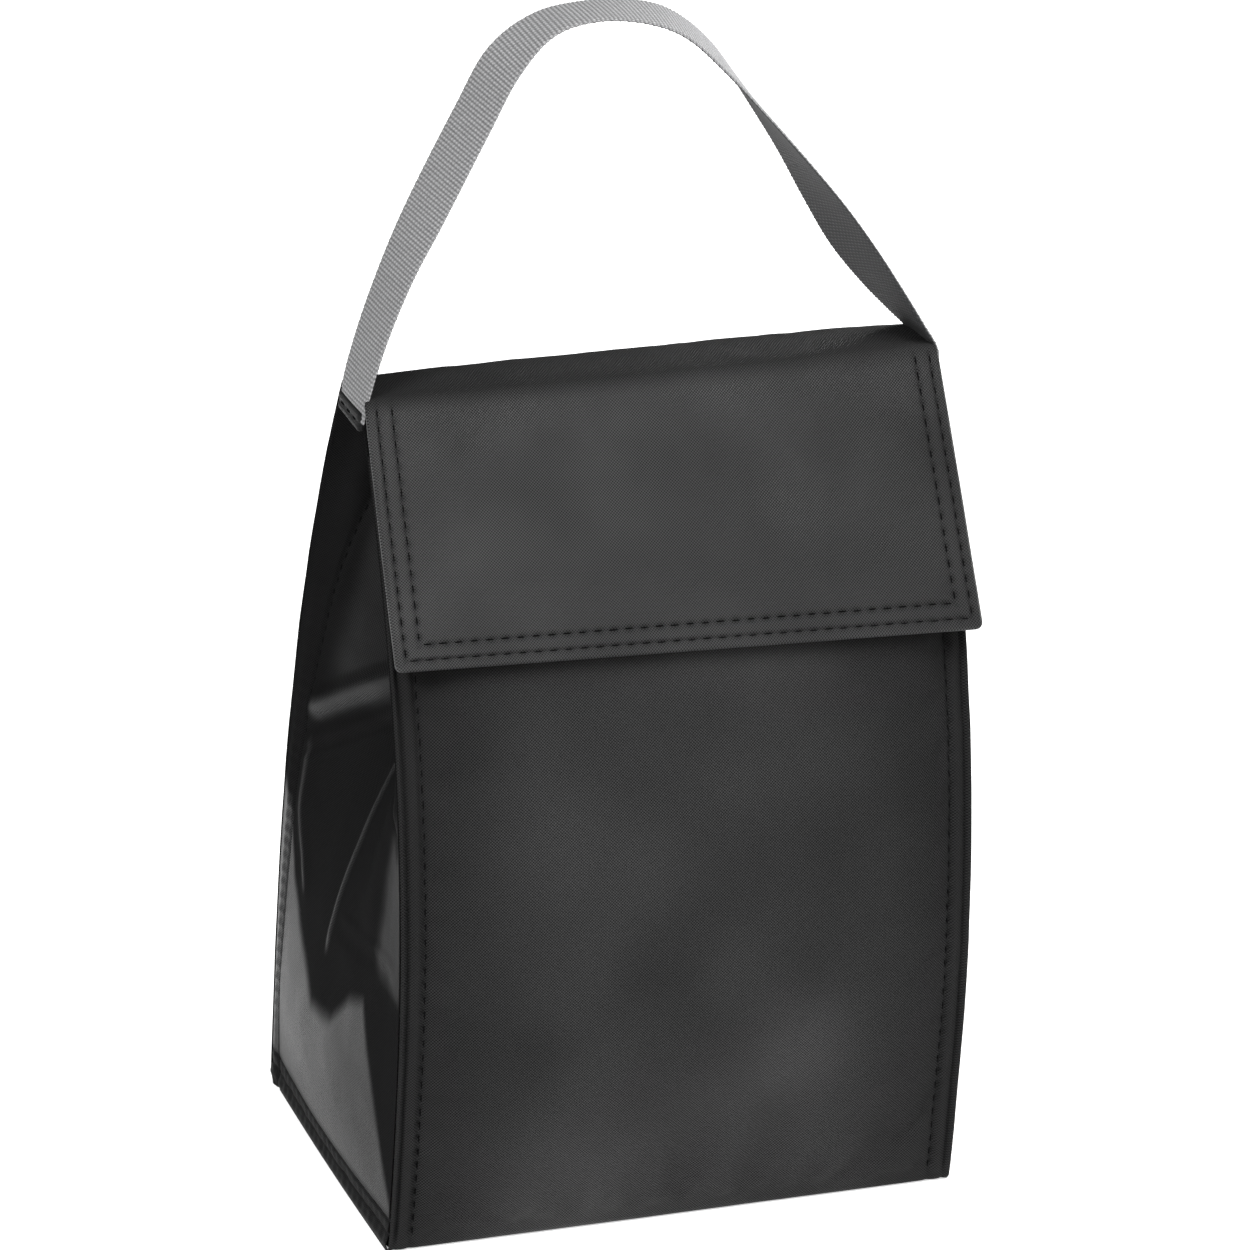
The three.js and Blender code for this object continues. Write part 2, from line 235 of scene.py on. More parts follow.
def cubic(values, us, vs, u, v):
    """Values of an evenly spaced grid at places u and v, through a cubic curve both ways."""
    rows = np.clip((v - vs[0]) / (vs[1] - vs[0]), 0, len(vs) - 1.001)
    columns = np.clip((u - us[0]) / (us[1] - us[0]), 0, len(us) - 1.001)
    i, j = np.floor(rows).astype(int), np.floor(columns).astype(int)
    down, along = catmull(rows - i), catmull(columns - j)
    result = 0.0
    for a in range(4):
        row = np.clip(i + a - 1, 0, len(vs) - 1)
        for b in range(4):
            column = np.clip(j + b - 1, 0, len(us) - 1)
            result = result + down[a] * along[b] * values[row, column]
    return result


def catmull(t):
    """Weights of four neighbours at t, 0 to 1, between the middle two."""
    return (-0.5 * t + t ** 2 - 0.5 * t ** 3, 1 - 2.5 * t ** 2 + 1.5 * t ** 3,
            0.5 * t + 2 * t ** 2 - 1.5 * t ** 3, -0.5 * t ** 2 + 0.5 * t ** 3)


def slack_cloth(coarse, outward, growth, pressure, seed, most):
    """How far a cloth held at its edges, cut a little too large, comes away from its rest shape."""
    rows, columns = coarse.shape[:2]
    start = coarse + outward * (0.4 * MM * ripple(coarse, 30 * MM, seed))[..., None]
    index = np.arange(rows * columns).reshape(rows, columns)
    mesh = bpy.data.meshes.new("slack")
    mesh.from_pydata(start.reshape(-1, 3).tolist(), [], quads(index).tolist())
    cloth = bpy.data.objects.new("slack", mesh)
    bpy.context.scene.collection.objects.link(cloth)
    held = cloth.vertex_groups.new(name="held")
    held.add(np.concatenate([index[0], index[-1], index[:, 0], index[:, -1]]).tolist(), 1, "REPLACE")
    settings = cloth.modifiers.new("cloth", "CLOTH").settings
    settings.vertex_group_mass = "held"
    settings.quality = 6
    settings.mass = 0.15
    settings.shrink_min = -growth
    settings.bending_stiffness = 2.5
    settings.use_pressure = True
    settings.uniform_pressure_force = pressure
    settings.effector_weights.gravity = 0
    for frame_number in range(1, 26):
        bpy.context.scene.frame_set(frame_number)
    shaped = cloth.evaluated_get(bpy.context.evaluated_depsgraph_get())
    points = np.zeros(rows * columns * 3)
    shaped.data.vertices.foreach_get("co", points)
    bpy.data.objects.remove(cloth)
    bpy.context.scene.frame_set(1)
    away = np.sum((points.reshape(rows, columns, 3) - coarse) * outward, -1)
    return most * np.tanh(away / most)


# ---------------------------------------------------------------- materials

def shader(name, colour, roughness, **inputs):
    material = bpy.data.materials.new(name)
    material.use_nodes = True
    tree = material.node_tree
    principled = tree.nodes["Principled BSDF"]
    principled.inputs["Base Color"].default_value = (*colour, 1)
    principled.inputs["Roughness"].default_value = roughness
    for key, value in inputs.items():
        principled.inputs[key.replace("_", " ")].default_value = value
    return material, tree, principled


def node(tree, kind, **settings):
    made = tree.nodes.new(kind)
    for key, value in settings.items():
        if key in made.inputs:
            made.inputs[key].default_value = value
        else:
            setattr(made, key, value)
    return made


def maths(tree, operation, first, second=None):
    made = node(tree, "ShaderNodeMath", operation=operation)
    for k, value in enumerate((first, second)):
        if value is None:
            continue
        if isinstance(value, (int, float)):
            made.inputs[k].default_value = value
        else:
            tree.links.new(value, made.inputs[k])
    return made.outputs[0]


def grade(tree, factor, low, high, from_low=0.0, from_high=1.0):
    """Maps a factor onto a range of numbers."""
    made = node(tree, "ShaderNodeMapRange")
    made.inputs["From Min"].default_value = from_low
    made.inputs["From Max"].default_value = from_high
    made.inputs["To Min"].default_value = low
    made.inputs["To Max"].default_value = high
    tree.links.new(factor, made.inputs["Value"])
    return made.outputs["Result"]


def tint(tree, principled, factor, dark, light):
    """Colours a material between two colours."""
    made = node(tree, "ShaderNodeMix", data_type="RGBA")
    made.inputs[6].default_value = (*dark, 1)
    made.inputs[7].default_value = (*light, 1)
    tree.links.new(factor, made.inputs[0])
    tree.links.new(made.outputs[2], principled.inputs["Base Color"])


def weighed(tree, *parts):
    """The sum of factors, each times its own weight."""
    terms = [maths(tree, "MULTIPLY", factor, weight) for factor, weight in parts]
    total = terms[0]
    for term in terms[1:]:
        total = maths(tree, "ADD", total, term)
    return total


def texture(tree, kind, **settings):
    place = node(tree, "ShaderNodeTexCoord")
    made = node(tree, kind, **settings)
    tree.links.new(place.outputs["Object"], made.inputs["Vector"])
    return made


def grain(tree, scale, detail=3.0):
    return texture(tree, "ShaderNodeTexNoise", Scale=scale, Detail=detail).outputs["Fac"]


def relief(tree, principled, height, distance, strength=1.0, under=None):
    made = node(tree, "ShaderNodeBump", Distance=distance, Strength=strength)
    tree.links.new(height, made.inputs["Height"])
    if under is not None:
        tree.links.new(under.outputs["Normal"], made.inputs["Normal"])
    tree.links.new(made.outputs["Normal"], principled.inputs["Normal"])
    return made


def threads(tree, axis, pitch):
    """-1 to 1 over threads laid side by side along U, axis 0, or V, axis 1, one every pitch metres."""
    place = node(tree, "ShaderNodeTexCoord")
    split = node(tree, "ShaderNodeSeparateXYZ")
    tree.links.new(place.outputs["UV"], split.inputs[0])
    return maths(tree, "SINE", maths(tree, "MULTIPLY", split.outputs[axis], 2 * math.pi / pitch))


def plain_weave(tree, pitch):
    """0 to 1 over a plain weave, a repeat every pitch metres."""
    product = maths(tree, "MULTIPLY", threads(tree, 0, pitch), threads(tree, 1, pitch))
    return grade(tree, product, 0, 1, -1, 1)


def nylon_material(name, light, roughness, weave_depth, full_gloss_and_painted_light):
    """Coated nylon. Below a full value of its gloss mask it gets rougher, less glossy and a little darker in
    colour as the mask goes to 0: the darker colour is painted shade, the full colour painted sheen.
    """
    material, tree, principled = shader(name, light, roughness, IOR=1.33)
    weave = plain_weave(tree, WEAVE_PITCH)
    cloud = grain(tree, 28)
    gloss_and_painted_light = node(tree, "ShaderNodeAttribute", attribute_name="gloss_and_painted_light").outputs["Fac"]
    mixed = weighed(tree, (weave, 0.75), (cloud, 0.15), (grain(tree, 900, 2), 0.1))
    # Painted shade and sheen: the colour is scaled by the gloss mask, darker where it is low.
    mixed = maths(tree, "MULTIPLY", mixed, grade(tree, gloss_and_painted_light, 0.68, 1.0, 0, full_gloss_and_painted_light))
    tint(tree, principled, mixed, (0, 0, 0), light)
    rough = grade(tree, cloud, roughness - 0.08, roughness + 0.08)
    rough = maths(tree, "ADD", rough, maths(tree, "MULTIPLY", weave, 0.06))
    rough = maths(tree, "ADD", rough, grade(tree, gloss_and_painted_light, 0.35, 0, 0, full_gloss_and_painted_light))
    tree.links.new(rough, principled.inputs["Roughness"])
    level = maths(tree, "MULTIPLY", gloss_and_painted_light, grade(tree, cloud, 0.3, 0.6))
    level = maths(tree, "MULTIPLY", level, grade(tree, weave, 1 - weave_depth, 1 + 0.5 * weave_depth))
    tree.links.new(level, principled.inputs["Specular IOR Level"])
    soft = relief(tree, principled, grain(tree, 120), 0.5 * MM, 0.25)
    relief(tree, principled, weave, 0.3 * MM, weave_depth, soft)
    return material


def film_material():
    """Aluminised film, lightly creased."""
    material, tree, principled = shader("foil_film", (0.78, 0.79, 0.8), 0.28, Metallic=0.9)
    cells = texture(tree, "ShaderNodeTexVoronoi", Scale=95.0, feature="DISTANCE_TO_EDGE")
    crease = grade(tree, cells.outputs["Distance"], 0, 1, 0, 0.12)
    tree.links.new(grade(tree, grain(tree, 60), 0.2, 0.42), principled.inputs["Roughness"])
    tint(tree, principled, grain(tree, 35), (0.62, 0.63, 0.65), (0.85, 0.86, 0.87))
    soft = relief(tree, principled, grain(tree, 140, 5), 1.2 * MM, 0.5)
    relief(tree, principled, crease, 0.3 * MM, 0.35, soft)
    return material


def foam_material():
    material, tree, principled = shader("pe_foam", (0.85, 0.85, 0.82), 0.85)
    distance = texture(tree, "ShaderNodeTexVoronoi", Scale=900.0).outputs["Distance"]
    tint(tree, principled, distance, (0.9, 0.9, 0.87), (0.68, 0.68, 0.66))
    relief(tree, principled, distance, 0.2 * MM, 0.5)
    return material


def webbing_material():
    material, tree, principled = shader("webbing_grey", (0.3, 0.3, 0.3), 0.62, Specular_IOR_Level=0.2)
    fibre = grade(tree, threads(tree, 0, FIBRE_PITCH), 0, 1, -1, 1)
    mixed = weighed(tree, (fibre, 0.45), (grain(tree, 1400, 3), 0.55))
    # The weave's pattern, with painted shade on the strap's underside.
    shade = node(tree, "ShaderNodeAttribute", attribute_name="weave_and_painted_shade")
    mixed = maths(tree, "MULTIPLY", mixed, shade.outputs["Fac"])
    tint(tree, principled, mixed, (0.04, 0.04, 0.041), (0.74, 0.74, 0.75))
    relief(tree, principled, mixed, 0.15 * MM, 0.6)
    return material


def fuzz_material(name, dark, light, scale):
    material, tree, principled = shader(name, light, 0.95, Sheen_Weight=0.4)
    cloud = grain(tree, scale, 4)
    tint(tree, principled, cloud, dark, light)
    relief(tree, principled, cloud, 0.5 * MM, 0.7)
    return material


def thread_material():
    material, tree, principled = shader("thread", (0.003, 0.003, 0.003), 0.9, Specular_IOR_Level=0.05)
    cloud = grain(tree, 2500, 2)
    tint(tree, principled, cloud, (0.0005, 0.0005, 0.0005), (0.005, 0.005, 0.0055))
    relief(tree, principled, cloud, 0.05 * MM, 0.5)
    return material


NYLON = nylon_material("nylon_front", (0.05, 0.05, 0.0505), 0.32, 1.0, 2.0)
# The gussets' copy of the same nylon, with a darker colour as painted shade and a lower roughness.
SIDE_NYLON_PAINTED_SHADE = nylon_material("nylon_side_painted_shade", (0.026, 0.026, 0.0265), 0.22, 0.5, 0.45)
FILM = film_material()
FOAM = foam_material()
WEBBING = webbing_material()
LOOP = fuzz_material("loop_tape", (0.006, 0.006, 0.006), (0.03, 0.03, 0.032), 1500)
HOOK = fuzz_material("hook_tape", (0.008, 0.008, 0.008), (0.035, 0.035, 0.037), 700)
THREAD = thread_material()


# ---------------------------------------------------------------- the bag's surfaces

def rise(z):
    return np.clip(z / FOLD_HEIGHT, 0, 1.05)


def bow(z):
    return np.sin(math.pi * rise(z))


def wall_lean(z, top):
    return HALF_DEPTH + (top - HALF_DEPTH) * rise(z) ** LEAN_POWER


def front_seam(z):
    return wall_lean(z, FRONT_TOP_DEPTH) + FRONT_BULGE * bow(z)


def back_seam(z):
    return wall_lean(z, BACK_TOP_DEPTH)


def belly(x):
    return 1 - np.clip(np.abs(x) / HALF_WIDTH, 0, 1) ** 3


def fold_depth(z):
    t = np.clip((z - FOLD_START) / (FOLD_HEIGHT - FOLD_START), 0, 1)
    return HALF_DEPTH * np.sin(math.pi / 2 * t ** FOLD_POWER)


# ---------------------------------------------------------------- camera, light and floor

def make_camera():
    yaw, pitch, roll = math.radians(20.66), math.radians(24.8), math.radians(2.78)
    distance, shift_x, shift_z = 3.276, 0.0001, 0.0524
    forward = Vector((math.sin(yaw) * math.cos(pitch), math.cos(yaw) * math.cos(pitch), -math.sin(pitch)))
    level = Vector((math.cos(yaw), -math.sin(yaw), 0))
    above = level.cross(forward)
    right = math.cos(roll) * level + math.sin(roll) * above
    up = math.cos(roll) * above - math.sin(roll) * level
    data = bpy.data.cameras.new("camera")
    data.sensor_width = 36
    data.lens = 244.8
    data.clip_end = 100
    camera = bpy.data.objects.new("camera", data)
    place = Vector((0, 0, 0.16)) - forward * distance + right * shift_x + up * shift_z
    turn = Matrix((right, up, -forward)).transposed().to_4x4()
    camera.matrix_world = Matrix.Translation(place) @ turn
    bpy.context.scene.collection.objects.link(camera)
    bpy.context.scene.camera = camera


def soft_box(name, place, target, width, height, power):
    data = bpy.data.lights.new(name, "AREA")
    data.shape = "RECTANGLE"
    data.size, data.size_y, data.energy = width, height, power
    light = bpy.data.objects.new(name, data)
    light.location = place
    light.rotation_euler = (Vector(target) - Vector(place)).to_track_quat("-Z", "Y").to_euler()
    bpy.context.scene.collection.objects.link(light)


def make_studio():
    soft_box("key", (0.8, -1.9, 1.7), (0, 0, 0.25), 1.3, 0.8, 22)
    soft_box("left", (-1.9, -1.3, 2.2), (0, 0, 0.3), 0.9, 0.9, 75)
    soft_box("top", (0.5, -0.75, 2.3), (0, 0, 0.3), 1.4, 0.9, 42)
    soft_box("back", (2.4, 1.6, 0.9), (0, 0, 0.2), 1.2, 0.9, 90)
    world = bpy.data.worlds.new("studio")
    world.use_nodes = True
    background = world.node_tree.nodes["Background"]
    background.inputs["Color"].default_value = (0.9, 0.92, 0.95, 1)
    background.inputs["Strength"].default_value = 0.04
    bpy.context.scene.world = world
    bpy.context.scene.view_settings.view_transform = "Standard"
    make_floor()


def make_floor():
    """A pale sheet of paper that glows near the bag, a painted pool of light, and whose colour darkens to
    grey away from it, a painted fade, with a faint speckle.
    """
    material, tree, principled = shader("paper", (0.9, 0.9, 0.9), 0.9)
    principled.inputs["Emission Color"].default_value = (1, 1, 1, 1)
    place = node(tree, "ShaderNodeTexCoord")
    squeeze = node(tree, "ShaderNodeVectorMath", operation="MULTIPLY")
    squeeze.inputs[1].default_value = (1, 1.15, 1)
    offset = node(tree, "ShaderNodeVectorMath", operation="DISTANCE")
    offset.inputs[1].default_value = (0.35, 0.63, 0)
    tree.links.new(place.outputs["Object"], squeeze.inputs[0])
    tree.links.new(squeeze.outputs[0], offset.inputs[0])
    near = grade(tree, offset.outputs["Value"], 1, 0, 1.02, 1.6)
    # Painted light: the floor glows near the bag, and the glow fades away from it.
    tree.links.new(maths(tree, "MULTIPLY", near, 0.55), principled.inputs["Emission Strength"])
    # Painted fade: the floor's colour darkens away from the bag, with a faint speckle.
    speckle_and_painted_fade = maths(tree, "MULTIPLY", near, grade(tree, grain(tree, 40), 0.95, 1))
    tint(tree, principled, speckle_and_painted_fade, (0.5, 0.5, 0.5), (0.92, 0.92, 0.92))
    reach = 12
    corners = [(-reach, -reach, 0), (reach, -reach, 0), (reach, reach, 0), (-reach, reach, 0)]
    return new_object("floor", corners, [(0, 1, 2, 3)], material)


# ---------------------------------------------------------------- stitches

def thread_row(grid, outward, us, vs, u, v):
    """A path of stitches over a grid, and its outward normals."""
    return at(grid, us, vs, u, v), at(outward, us, vs, u, v)


def stitches(name, rows):
    """Lines of thread. Each row is (points, normals): a path on the cloth and its outward normals."""
    sides = 6
    ring_at = np.array([-0.5, -0.38, 0, 0.38, 0.5])
    ring_size = np.array([0.35, 0.85, 1, 0.85, 0.35])
    sink = np.array([-0.35, -0.05, 0.1, -0.05, -0.35]) * MM
    radius = 0.32 * MM
    points, faces = [], []
    for path, outward in rows:
        lengths = path_lengths(path)
        count = max(int(lengths[-1] / STITCH_PITCH), 1)
        for k in range(count):
            middle = (k + 0.5) * lengths[-1] / count
            stretch = STITCH_LENGTH * (0.93 + 0.1 * math.sin(1.7 * k))
            aside = 0.14 * MM * math.sin(3.1 * k)
            base = len(points)
            for offset, size, depth in zip(ring_at, ring_size, sink):
                here = middle + offset * stretch
                p = np.array([np.interp(here, lengths, path[:, c]) for c in range(3)])
                q = np.array([np.interp(here + 0.2 * MM, lengths, path[:, c]) for c in range(3)])
                n = unit(np.array([np.interp(here, lengths, outward[:, c]) for c in range(3)]))
                along = unit(q - p) if np.linalg.norm(q - p) > 1e-9 else unit(path[-1] - path[-2])
                across = unit(np.cross(n, along))
                for s in range(sides):
                    a = 2 * math.pi * s / sides
                    ring = size * radius * (math.cos(a) * across + math.sin(a) * n)
                    points.append(p + n * depth + across * aside + ring)
            faces += tube_faces(base, len(ring_at), sides)
    piece = new_object(name, np.array(points), faces, THREAD)
    return piece


# ---------------------------------------------------------------- front and back walls

EDGE_STEPS = steps((0, 4 * MM, 14), (4 * MM, 13 * MM, 20), (13 * MM, 25 * MM, 8), (25 * MM, HALF_WIDTH, 36))
SEAM_ROW = 9.5 * MM


def seam_profile(e):
    """Height of the sewn corner over the cloth, at a distance from the corner."""
    ridge = 1.0 * bump(e, 0.9 * MM, 1.2 * MM)
    groove = -1.4 * bump(e, 2.7 * MM, 1.2 * MM)
    band = 0.7 * bump(e, 5.8 * MM, 2.6 * MM)
    row = -1.1 * bump(e, SEAM_ROW - 0.6 * MM, 1.7 * MM)
    return (ridge + groove + band + row) * MM


def stitch_wave(along):
    """-1 to 1 along a row of stitches, a wave for each stitch."""
    return np.cos(2 * math.pi * along / STITCH_PITCH)


def pucker(e, along, row, reach, height):
    """Ripples beside a row of stitches."""
    return height * stitch_wave(along) * bump(e, row, reach)


def wall_face(x, z, side):
    if side < 0:
        y = front_seam(z) + FRONT_BELLY * bow(z) * belly(x)
    else:
        y = back_seam(z) + BACK_BELLY * bow(z) * belly(x)
    return np.stack([x, side * y, z], -1)


RELIEFS = {}


def wall_relief(side, seed, x, z):
    """The slack of a wall's cloth between its seams."""
    us = np.linspace(-HALF_WIDTH + SEAM_ROW, HALF_WIDTH - SEAM_ROW, 50)
    vs = np.linspace(6 * MM, (MOUTH_TOP if side < 0 else FOLD_HEIGHT) - 5 * MM, 66)
    if side not in RELIEFS:
        u, v = np.meshgrid(us, vs)
        coarse = wall_face(u, v, side)
        outward = -normals(coarse, (0, -side, 0))
        RELIEFS[side] = slack_cloth(coarse, outward, 0.02, 0.4, seed, 4 * MM)
    return cubic(RELIEFS[side], us, vs, x, z)


def wall_grid(columns, rows, side, seed):
    """A wall's outer face: side is -1 for the front and 1 for the back."""
    x, z = np.meshgrid(columns, rows)
    grid = wall_face(x, z, side)
    e = HALF_WIDTH - np.abs(x)
    wave = wall_relief(side, seed, x, z)
    wave += 0.3 * MM * ripple(grid, 24 * MM, seed + 3, 2) * smooth(e, 4 * MM, 16 * MM)
    uneven = 0.7 + 0.8 * ripple(grid, 22 * MM, seed + 9, 2)
    detail = seam_profile(e) + pucker(e, z, SEAM_ROW - 1 * MM, 4.5 * MM, 0.6 * MM) * uneven
    detail += 0.45 * MM * ripple(grid, 7 * MM, seed + 5, 2) * bump(e, 7 * MM, 8 * MM)
    fade = smooth(z, 0, 10 * MM)
    return grid - normals(grid, (0, -side, 0)) * ((wave + detail) * fade)[..., None]


def turned_foot(grid, side):
    """The wall's lowest rows turned under in a small arc towards the base."""
    arc = []
    for a in np.linspace(math.pi / 2, 0, 7)[:-1]:
        row = grid[0].copy()
        row[:, 1] -= side * FOOT_RADIUS * (1 - math.cos(a))
        row[:, 2] = FOOT_RADIUS * (1 - math.sin(a))
        arc.append(row)
    return np.concatenate([np.array(arc), grid])


def build_wall(name, side, seed, top):
    columns = mirrored(EDGE_STEPS)
    rows = steps((FOOT_RADIUS, 12 * MM, 6), (12 * MM, top, 150))
    grid = wall_grid(columns, rows, side, seed)
    full = turned_foot(grid, side)
    lengths = path_lengths(full[:, len(columns) // 2])
    u, v = np.meshgrid(columns, lengths)
    uv = np.stack([u, v], -1)
    towards = (0, -side, 0)
    # Gloss mask with painted light: the wall is glossier and lighter in its middle and darker towards its
    # sides, a painted sheen with blotches; matt, darker lines of painted shade run beside the stitch rows.
    middle = np.exp(-(u / (80 * MM)) ** 4)
    gloss_and_painted_light = 0.1 + 0.78 * middle + 0.6 * middle * ripple(full, 80 * MM, seed + 7, 2)
    pulled_and_painted_shade = bump(HALF_WIDTH - np.abs(u), SEAM_ROW - 0.5 * MM, 3 * MM)
    pulled_and_painted_shade *= 0.5 + 0.3 * stitch_wave(v)
    gloss_and_painted_light = np.clip(gloss_and_painted_light, 0.05, 1.4) * (1 - pulled_and_painted_shade)
    skin = layer(f"{name}_cloth", full, towards, 0, CLOTH, NYLON, uv, gloss_and_painted_light)
    inner_columns = mirrored(steps((0, HALF_WIDTH - SEAM_ROW, 40)))
    inner_rows = steps((5.5 * MM, top, 60))
    plain = wall_grid(inner_columns, inner_rows, side, seed)
    pu, pv = np.meshgrid(inner_columns, inner_rows)
    flat = np.stack([pu, pv], -1)
    pad, film = lining(name, plain, plain, towards, flat)
    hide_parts(f"{name}_panel", f"{name}_left_seam", f"{name}_right_seam")
    outward = -normals(grid, towards)
    thread_rows = []
    for sign in (-1, 1):
        z = np.linspace(6 * MM, top - 3 * MM, 200)
        x = np.full_like(z, sign * (HALF_WIDTH - SEAM_ROW))
        thread_rows.append(thread_row(grid, outward, columns, rows, x, z))
    thread = stitches(f"{name}_stitches", thread_rows)
    return (skin, pad, film, thread), (grid, columns, rows)


def lining(name, pad_face, film_face, towards, uv):
    """The foam and the film inside a wall or the base."""
    pad = layer(f"{name}_padding", pad_face, towards, FOAM_FROM, FOAM_TO, FOAM, uv)
    film = layer(f"{name}_film", film_face, towards, FILM_FROM, FILM_TO, FILM, uv)
    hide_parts(f"{name}_foam")
    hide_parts(f"{name}_lining")
    return pad, film


def build_front():
    (skin, *inside), face = build_wall("front", -1, 1, MOUTH_TOP - 4 * MM)
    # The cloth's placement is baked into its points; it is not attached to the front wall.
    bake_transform(skin)
    for piece in inside:
        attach(piece, "front_wall")
    build_mouth_hem()
    build_loop_tape(*face)


def build_mouth_hem():
    """A folded binding over the front wall's top edge."""
    columns = mirrored(steps((0, HALF_WIDTH - 5 * MM, 60)))
    base = wall_grid(columns, np.array([MOUTH_TOP - 7 * MM, MOUTH_TOP - 2 * MM]), -1, 1)
    inward = normals(base, (0, 1, 0))[1]
    up = unit(base[1] - base[0])
    middle = base[1] + inward * 1.8 * MM
    ripple_along = 0.25 * MM * np.sin(2 * math.pi * columns / STITCH_PITCH)
    rings = []
    for a in np.linspace(0, 2 * math.pi, 17)[:-1]:
        across = 2.5 * MM * np.sign(math.cos(a)) * abs(math.cos(a)) ** 0.7
        tall = 3.4 * MM * np.sign(math.sin(a)) * abs(math.sin(a)) ** 0.6 - 1.2 * MM
        rings.append(middle + inward * across + up * (tall + ripple_along * max(math.sin(a), 0))[:, None])
    binding = nylon_tube("mouth_binding", np.array(rings), "front_wall")
    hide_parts("mouth_hem")


def nylon_tube(name, rings, body):
    """A closed piece of nylon from the lines of points that run along it, in order round it."""
    around, along = rings.shape[:2]
    points = rings.reshape(-1, 3)
    index = np.arange(around * along).reshape(around, along)
    around_faces = quads(np.concatenate([index, index[:1]]))
    faces = around_faces.tolist() + [index[::-1, -1].tolist(), index[:, 0].tolist()]
    if inside_out(points, around_faces):
        faces = [face[::-1] for face in faces]
    u, v = np.meshgrid(np.arange(along), np.arange(around))
    uv = np.stack([u * 2 * MM, v * 1 * MM], -1).reshape(-1, 2)
    piece = new_object(name, points, faces, NYLON, uv)
    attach(piece, body)
    return piece


def build_loop_tape(grid, columns, rows):
    low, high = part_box("loop_strip")
    u = np.linspace(low.x, high.x, 90)
    v = np.linspace(low.z, high.z, 30)
    x, z = np.meshgrid(u, v)
    surface = at(grid, columns, rows, x.ravel(), z.ravel()).reshape(30, 90, 3)
    outward = normals(surface, (0, -1, 0))
    edge = np.minimum(np.minimum(x - low.x, high.x - x), np.minimum(z - low.z, high.z - z))
    pile = (0.35 + 0.65 * smooth(edge, 0, 1.5 * MM)) * MM
    pile = pile + 0.16 * MM * ripple(surface, 1.3 * MM, 8, 2)
    uv = np.stack([x, z], -1)
    top = surface + outward * pile[..., None]
    tape = sheet_between("loop_tape", top, surface + outward * 0.05 * MM, LOOP, uv)
    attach(tape, "front_wall")
    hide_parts("loop_strip")


def build_back():
    for piece in build_wall("back", 1, 2, FOLD_HEIGHT - 1 * MM)[0]:
        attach(piece, "shell")


# ---------------------------------------------------------------- base

def build_base():
    x = mirrored(steps((0, 6 * MM, 8), (6 * MM, HALF_WIDTH, 40)))
    y = mirrored(steps((0, HALF_DEPTH - FOOT_RADIUS, 40)))
    gx, gy = np.meshgrid(x, y)
    z = FOOT_RADIUS * (1 - round_edge(HALF_WIDTH - np.abs(gx), FOOT_RADIUS))
    grid = np.stack([gx, gy, z + 0.02 * MM], -1)
    uv = np.stack([gx, gy], -1)
    skin = layer("base_cloth", grid, (0, 0, 1), 0, CLOTH, NYLON, uv)
    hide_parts("base_panel")
    inner_x = np.linspace(-HALF_WIDTH + 5 * MM, HALF_WIDTH - 5 * MM, 50)
    inner_y = np.linspace(-HALF_DEPTH + 6 * MM, HALF_DEPTH - 6 * MM, 40)
    ix, iy = np.meshgrid(inner_x, inner_y)
    flat = np.stack([ix, iy], -1)
    level = np.stack([ix, iy, np.zeros_like(ix)], -1)
    wrinkled = level.copy()
    wrinkled[..., 2] += 0.5 * MM * (1 + ripple(level, 30 * MM, 5))
    pad, film = lining("base", level, wrinkled, (0, 0, 1), flat)
    for piece in (skin, pad, film):
        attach(piece, "shell")


# ---------------------------------------------------------------- side gussets

BASE_ROWS = (8 * MM, 14 * MM)   # stitch rows above the base


def crease_place(z):
    """Where the middle fold runs, between the front seam, 0, and the back seam, 1."""
    return 0.5 + 0.08 * np.clip((180 * MM - z) / (88 * MM), 0, 1)


